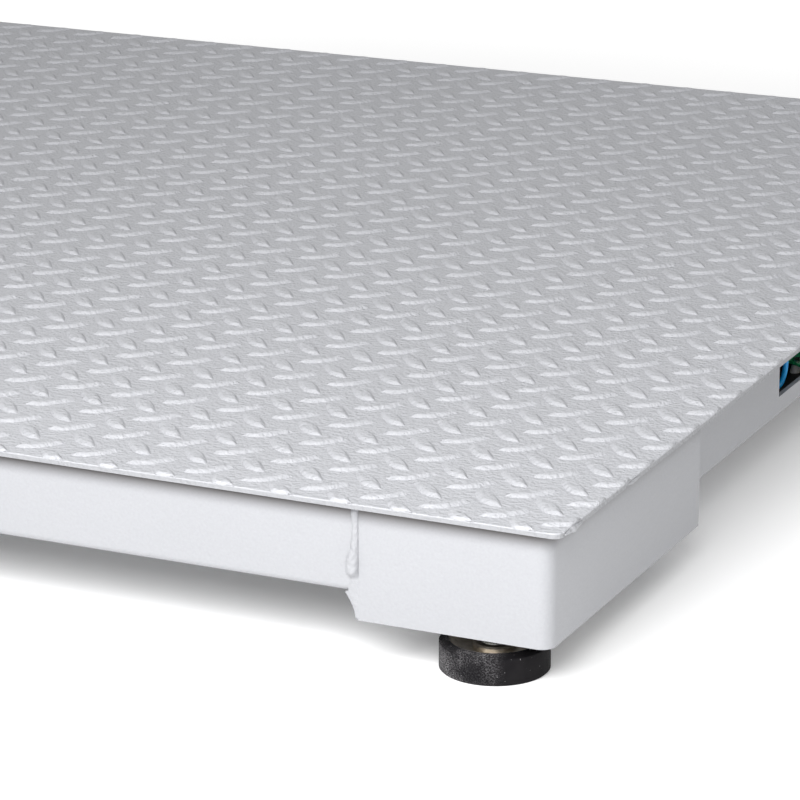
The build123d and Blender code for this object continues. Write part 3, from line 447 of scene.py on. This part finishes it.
def trim_to_deck(mesh):
    """Cut the lugs flush with the deck's sheared edges."""
    low, high = DECK_LOW, DECK_HIGH
    inset = LUG_TRIM_INSET
    build = bmesh.new()
    build.from_mesh(mesh)
    cuts = (((high.x - inset, 0, 0), (1, 0, 0)), ((low.x + inset, 0, 0), (-1, 0, 0)),
            ((0, high.y - inset, 0), (0, 1, 0)), ((0, low.y + inset, 0), (0, -1, 0)))
    for place, normal in cuts:
        everything = build.verts[:] + build.edges[:] + build.faces[:]
        cut = bmesh.ops.bisect_plane(build, geom=everything, plane_co=place, plane_no=normal,
                                     clear_outer=True, dist=1e-7)
        open_edges = [e for e in cut["geom_cut"] if isinstance(e, bmesh.types.BMEdge) and e.is_boundary]
        bmesh.ops.holes_fill(build, edges=open_edges, sides=0)
    build.to_mesh(mesh)
    build.free()


def make_lugs(name, angle, lean, first):
    """Whole lugs in two pieces, left and right, and one piece of lugs that the edges cut."""
    low, high = DECK_LOW, DECK_HIGH
    middle_x = (low.x + high.x) / 2
    reach = LUG_LENGTH * 0.42
    groups = {"left": [], "right": [], "edge": []}
    for place in lug_places(first):
        whole_x = low.x + reach < place.x < high.x - reach
        whole_y = low.y + reach < place.y < high.y - reach
        if not (whole_x and whole_y):
            groups["edge"].append(place)
        elif place.x < middle_x:
            groups["left"].append(place)
        else:
            groups["right"].append(place)
    for group, places in groups.items():
        mesh = place_lugs(places, angle, lean)
        if group == "edge":
            trim_to_deck(mesh)
        add_piece(f"{name}_{group}", mesh, "platform", lit_deck_paint)


make_lugs("deck_lugs_rising", LUG_ANGLE, 1, RISING_START)
make_lugs("deck_lugs_falling", -LUG_ANGLE, -1, FALLING_START)


# ---------------------------------------------------------------- welds
def bead_mesh(name, sections):
    """One closed mesh from a list of beads, each a list of rings of points."""
    points = []
    faces = []
    for rings in sections:
        offset = len(points)
        count = len(rings[0])
        for ring in rings:
            points += ring
        for row in range(len(rings) - 1):
            for i in range(count):
                following = (i + 1) % count
                low = offset + row * count
                faces.append((low + i, low + following, low + count + following, low + count + i))
        last = offset + (len(rings) - 1) * count
        faces.append(tuple(reversed(range(offset, offset + count))))
        faces.append(tuple(range(last, last + count)))
    mesh = bpy.data.meshes.new(name)
    mesh.from_pydata(points, [], faces)
    build = bmesh.new()
    build.from_mesh(mesh)
    bmesh.ops.recalc_face_normals(build, faces=build.faces)
    build.to_mesh(mesh)
    build.free()
    return mesh


SEAM_STEP = 0.7 * MM
SEAM_ARC = 13
SEAM_TOP_GAP = 0.2 * MM
SEAM_OVERLAP = 1.6 * MM
SEAM_SINK = 0.1 * MM
SEAM_DEPTH = 1.5 * MM
LOWER_PASS_WIDTH = 6.4 * MM
LOWER_PASS_HEIGHT = 0.6 * MM
FILLET_DROP = 14.5 * MM
FILLET_TOE = 6.5 * MM
FILLET_EDGE = 0.6 * MM
FILLET_CURVE = 1.75
FILLET_DEPTH = 8.0 * MM
# Plain size of the upper pass, and what its swell, wander and lumps each add, in millimetres.
UPPER_PASS_WIDTH = (4.4, 2.9, 1.3, 0.5)
UPPER_PASS_HEIGHT = (1.5, 1.3, 0.6, 1.0)
WANDER_SCALE = 70
LUMP_SCALE = 170
SEAM_RIPPLE = 0.30
# Share of the beam's height where the upper pass thins out below the deck, and by how much.
THINNING_START = 0.93
THINNING = 0.6
# Share of the beam's height where the upper pass swells and where it ends in a drip.
SWELL_START = 0.50
SWELL_FULL = 0.38
DRIP_SHOULDER = 0.24
DRIP_END = 0.17


def eased(value, low, high):
    """Smooth step of value from 0 at low to 1 at high; low may be the larger."""
    share = min(1.0, max(0.0, (value - low) / (high - low)))
    return share * share * (3 - 2 * share)


def pass_size(sizes, swell, wander, lump):
    """Width or height of the upper pass, from its plain size and what each effect adds."""
    plain, by_swell, by_wander, by_lump = sizes
    return (plain + by_swell * swell + by_wander * wander + by_lump * lump) * MM


def seam_bead(side_x, side_y):
    """Hand-laid seam between a beam and a corner box: a pass that swells to a drip, over a smooth one."""
    beam_low, beam_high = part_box("front_beam" if side_y < 0 else "rear_beam")
    seam = side_x * beam_high.x
    face = beam_low.y if side_y < 0 else beam_high.y
    top = beam_high.z - SEAM_TOP_GAP
    bottom = beam_low.z - FILLET_DROP
    rings = []
    count = int((top - bottom) / SEAM_STEP)
    for i in range(count + 1):
        z = bottom + (top - bottom) * i / count
        seed = Vector((seam * 9, side_y * 3, z))
        wander = noise.noise(seed * WANDER_SCALE)
        lump = noise.noise(seed * LUMP_SCALE)
        below = max(0.0, (beam_low.z - z) / FILLET_DROP)
        up = (z - beam_low.z) / (top - beam_low.z)
        swell = eased(up, SWELL_START, SWELL_FULL)
        drip = math.sqrt(min(1.0, max(0.0, (up - DRIP_END) / (DRIP_SHOULDER - DRIP_END))))
        right = seam + side_x * SEAM_OVERLAP
        depth = SEAM_DEPTH
        if below > 0:
            left = seam - side_x * (FILLET_TOE * (1 - below) ** FILLET_CURVE + FILLET_EDGE)
            height = LOWER_PASS_HEIGHT * (1 - 0.7 * below)
            depth = FILLET_DEPTH
        else:
            pass_width = pass_size(UPPER_PASS_WIDTH, swell, wander, lump)
            left = right - side_x * (LOWER_PASS_WIDTH + (pass_width - LOWER_PASS_WIDTH) * drip)
            pass_height = pass_size(UPPER_PASS_HEIGHT, swell, wander, lump)
            height = LOWER_PASS_HEIGHT + pass_height * drip
            height *= 1 - THINNING * eased(up, THINNING_START, 1.0)
        ring = []
        for k in range(SEAM_ARC):
            share = k / (SEAM_ARC - 1)
            rise = math.sin(math.pi * share) ** (1.3 - 0.85 * drip)
            ripple = 1 + SEAM_RIPPLE * drip * noise.noise(Vector((share * 2.6, z * 330, seam)))
            x = left + (right - left) * share
            ring.append(Vector((x, face + side_y * (height * rise * ripple - SEAM_SINK), z)))
        ring.append(Vector((right, face - side_y * depth, z)))
        ring.append(Vector((left, face - side_y * depth, z)))
        rings.append(ring)
    return rings


BEAD_STEP = 1.2 * MM
BEAD_ARC = 7
BEAD_ROOT = 0.4 * MM
BEAD_WAVE = 3.4
BEAD_WAVE_HEIGHT = 0.10
BEAD_NOISE_HEIGHT = 0.22


def fillet_bead(start, end, first, second, leg, seed):
    """A rippled fillet weld in the corner between two faces, along start to end."""
    length = (end - start).length
    count = max(4, int(length / BEAD_STEP))
    rings = []
    for i in range(count + 1):
        share = i / count
        taper = min(1.0, 6 * share, 6 * (1 - share)) ** 0.5 if 0 < share < 1 else 0.25
        ripple = 1 + BEAD_WAVE_HEIGHT * math.sin(share * length / MM * 2 * math.pi / BEAD_WAVE)
        ripple += BEAD_NOISE_HEIGHT * noise.noise(Vector((seed, share * length * 130, 0)))
        size = leg * taper * ripple
        middle = start + (end - start) * share
        ring = []
        for k in range(BEAD_ARC):
            turn = math.pi / 2 * k / (BEAD_ARC - 1)
            out = size * (0.82 + 0.18 * abs(math.cos(2 * turn)))
            ring.append(middle + first * (out * math.cos(turn)) + second * (out * math.sin(turn)))
        ring.append(middle - first * BEAD_ROOT - second * BEAD_ROOT)
        rings.append(ring)
    return rings


STITCH_LENGTH = 32 * MM
STITCH_LEG = 3.6 * MM
STITCH_MARGIN = 6 * MM
STITCHES_PER_RIB = 5
# Shares of a corner box's length, and the distance along its width, where its stitches are.
BOX_STITCHES = (0.3, 0.6, 0.85)
BOX_END_STITCH = 30 * MM


def make_welds():
    """Seam beads that show on the outside, and stitch welds under the deck."""
    seams = [seam_bead(side_x, side_y) for side_x in (-1, 1) for side_y in (-1, 1)]
    piece = add_piece("seam_beads", bead_mesh("seam_beads", seams), "platform", weld_paint)
    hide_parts("corner_weld_beads")
    down = Vector((0, 0, -1))
    stitches = []
    for rib in RIBS:
        low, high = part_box(f"deck_rib_{rib}")
        spacing = (high.y - low.y) / STITCHES_PER_RIB
        for side in (-1, 1):
            x = high.x if side > 0 else low.x
            for i in range(STITCHES_PER_RIB):
                y = low.y + spacing * (i + 0.5)
                start = Vector((x, y - STITCH_LENGTH / 2, high.z))
                end = Vector((x, y + STITCH_LENGTH / 2, high.z))
                stitches.append(fillet_bead(start, end, Vector((side, 0, 0)), down, STITCH_LEG, x + y))
        for y, inward in ((low.y, 1), (high.y, -1)):
            for side in (-1, 1):
                x = high.x if side > 0 else low.x
                start = Vector((x, y, high.z - STITCH_MARGIN))
                end = Vector((x, y, low.z + STITCH_MARGIN))
                stitches.append(fillet_bead(start, end, Vector((side, 0, 0)), Vector((0, inward, 0)),
                                            STITCH_LEG, x - y))
    for corner in CORNERS:
        low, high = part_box(f"corner_box_{corner}")
        side_x = 1 if "right" in corner else -1
        side_y = -1 if "front" in corner else 1
        inner_x = low.x if side_x > 0 else high.x
        inner_y = high.y if side_y < 0 else low.y
        for share in BOX_STITCHES:
            y = low.y + (high.y - low.y) * (share if side_y < 0 else 1 - share)
            start = Vector((inner_x, y - STITCH_LENGTH / 2, high.z))
            end = Vector((inner_x, y + STITCH_LENGTH / 2, high.z))
            stitches.append(fillet_bead(start, end, Vector((-side_x, 0, 0)), down, STITCH_LEG, y))
        start = Vector((low.x + BOX_END_STITCH, inner_y, high.z))
        end = Vector((low.x + BOX_END_STITCH + STITCH_LENGTH, inner_y, high.z))
        stitches.append(fillet_bead(start, end, Vector((0, -side_y, 0)), down, STITCH_LEG, side_x))
    add_piece("stitch_welds", bead_mesh("stitch_welds", stitches), "platform", weld_paint)


make_welds()


# ---------------------------------------------------------------- deck edge
BURR_STEPS = 40
BURR_POINTS = 10
# Start behind the front edge, length and size in millimetres, and the seed of the noise.
BURRS = ((6.0, 24.0, 1.7, 4), (95.0, 16.0, 1.1, 7))


def burr_rings(start, length, size, seed):
    """Torn, rolled metal along the deck's right side face, start millimetres behind its front edge."""
    rings = []
    for i in range(BURR_STEPS + 1):
        share = i / BURR_STEPS
        y = DECK_LOW.y + (start + share * length) * MM
        swell = math.sin(math.pi * share) ** 0.6 if 0 < share < 1 else 0.0
        lump = 0.75 + 0.6 * noise.noise(Vector((0, y * 230, seed)))
        radius = (0.12 + size * swell * lump) * MM
        centre = Vector((DECK_HIGH.x + 0.15 * MM, y, DECK_HIGH.z - (1.5 + 0.5 * lump) * MM))
        ring = []
        for k in range(BURR_POINTS):
            turn = 2 * math.pi * k / BURR_POINTS
            tear = 1 + 0.25 * noise.noise(Vector((turn, y * 450, seed)))
            ring.append(centre + Vector((math.cos(turn) * radius * 1.1, 0, math.sin(turn) * radius)) * tear)
        rings.append(ring)
    return rings


def make_edge_burr():
    """Two places on the deck's right edge where the shears tore the plate."""
    burrs = [burr_rings(*burr) for burr in BURRS]
    add_piece("edge_burr", bead_mesh("edge_burr", burrs), "platform", weld_paint)


make_edge_burr()


# ---------------------------------------------------------------- foot threads
THREAD_PITCH = 1.75 * MM
THREAD_STEPS = 20
THREAD_BOTTOM = 29.4 * MM
THREAD_TOP_MARGIN = 1.0 * MM
THREAD_ROOT = 5.75 * MM
THREAD_CREST = 6.18 * MM
THREAD_FADE_STEPS = 8
# Radius, and share of the pitch above or below the middle of the thread.
THREAD_PROFILE = ((THREAD_ROOT, -0.44), (THREAD_CREST, -0.08), (THREAD_CREST, 0.08), (THREAD_ROOT, 0.44))


def make_threads(corner):
    """Rolled thread on the plain stud of one foot, from the hexagon up into the load cell."""
    low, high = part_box(f"foot_stud_{corner}")
    centre = Vector(((low.x + high.x) / 2, (low.y + high.y) / 2, 0))
    turns = (high.z - THREAD_TOP_MARGIN - THREAD_BOTTOM) / THREAD_PITCH
    count = int(turns * THREAD_STEPS)
    rings = []
    for i in range(count + 1):
        turn = 2 * math.pi * i / THREAD_STEPS
        z = THREAD_BOTTOM + THREAD_PITCH * i / THREAD_STEPS
        fade = min(1.0, i / THREAD_FADE_STEPS, (count - i) / THREAD_FADE_STEPS)
        ring = []
        for radius, lift in THREAD_PROFILE:
            reach = THREAD_ROOT + (radius - THREAD_ROOT) * fade
            height = z + lift * THREAD_PITCH
            ring.append(centre + Vector((math.cos(turn) * reach, math.sin(turn) * reach, height)))
        rings.append(ring)
    add_piece(f"foot_thread_{corner}", bead_mesh(f"foot_thread_{corner}", [rings]), f"foot_stud_{corner}",
              materials["zinc_steel"], smooth=False)


for corner_name in CORNERS:
    make_threads(corner_name)


# ---------------------------------------------------------------- camera, floor and light
CAMERA_AZIMUTH = math.radians(25.067)
CAMERA_ELEVATION = math.radians(17.366)
CAMERA_ROLL = math.radians(-0.161)
CAMERA_LENS = 167.74
CAMERA_CLIP = 60
# From the deck's front right upper corner.
CAMERA_OFFSET = Vector((0.690281, -1.669209, 0.637154))
FLOOR_REACH = 12.0
LIGHT_TARGET = (0.3, -0.4, 0.0)
WORLD_STRENGTH = 0.54


def make_camera():
    """Long lens near the front right corner, looking down along the deck."""
    camera_data = bpy.data.cameras.new("camera")
    camera = bpy.data.objects.new("camera", camera_data)
    bpy.context.scene.collection.objects.link(camera)
    back = Vector((
        math.sin(CAMERA_AZIMUTH) * math.cos(CAMERA_ELEVATION),
        -math.cos(CAMERA_AZIMUTH) * math.cos(CAMERA_ELEVATION),
        math.sin(CAMERA_ELEVATION),
    ))
    level_right = (-back).cross(Vector((0, 0, 1))).normalized()
    level_up = level_right.cross(-back)
    right = math.cos(CAMERA_ROLL) * level_right + math.sin(CAMERA_ROLL) * level_up
    up = math.cos(CAMERA_ROLL) * level_up - math.sin(CAMERA_ROLL) * level_right
    near_corner = Vector((DECK_HIGH.x, DECK_LOW.y, DECK_HIGH.z))
    camera.matrix_world = Matrix((
        (right.x, up.x, back.x, 0),
        (right.y, up.y, back.y, 0),
        (right.z, up.z, back.z, 0),
        (0, 0, 0, 1),
    ))
    camera.location = near_corner + CAMERA_OFFSET
    camera_data.lens = CAMERA_LENS
    camera_data.clip_end = CAMERA_CLIP
    bpy.context.scene.camera = camera


def make_floor():
    """Plain pale paper under the platform."""
    mesh = bpy.data.meshes.new("floor")
    corners = [(-1, -1), (1, -1), (1, 1), (-1, 1)]
    mesh.from_pydata([(x * FLOOR_REACH, y * FLOOR_REACH, 0) for x, y in corners], [], [(0, 1, 2, 3)])
    floor = bpy.data.objects.new("floor", mesh)
    bpy.context.scene.collection.objects.link(floor)
    floor.data.materials.append(floor_paper("floor_paper"))


def make_light(name, size, power, place, target):
    """A rectangular soft light at a place, facing a target."""
    data = bpy.data.lights.new(name, "AREA")
    data.shape = "RECTANGLE"
    data.size, data.size_y = size
    data.energy = power
    light = bpy.data.objects.new(name, data)
    bpy.context.scene.collection.objects.link(light)
    light.location = place
    light.rotation_mode = "QUATERNION"
    light.rotation_quaternion = (Vector(target) - Vector(place)).to_track_quat("-Z", "Y")


def make_world(strength):
    """Even white light from all round."""
    world = bpy.data.worlds.new("studio")
    world.use_nodes = True
    background = world.node_tree.nodes["Background"]
    background.inputs["Color"].default_value = (1.0, 1.0, 1.0, 1.0)
    background.inputs["Strength"].default_value = strength
    bpy.context.scene.world = world


make_camera()
make_floor()
make_light("key_softbox", (1.6, 0.8), 38, (0.45, -1.6, 1.0), LIGHT_TARGET)
make_light("front_strip", (4.5, 0.8), 2, (0.2, -2.0, 0.7), LIGHT_TARGET)
make_world(WORLD_STRENGTH)
bpy.context.scene.view_settings.view_transform = "Standard"
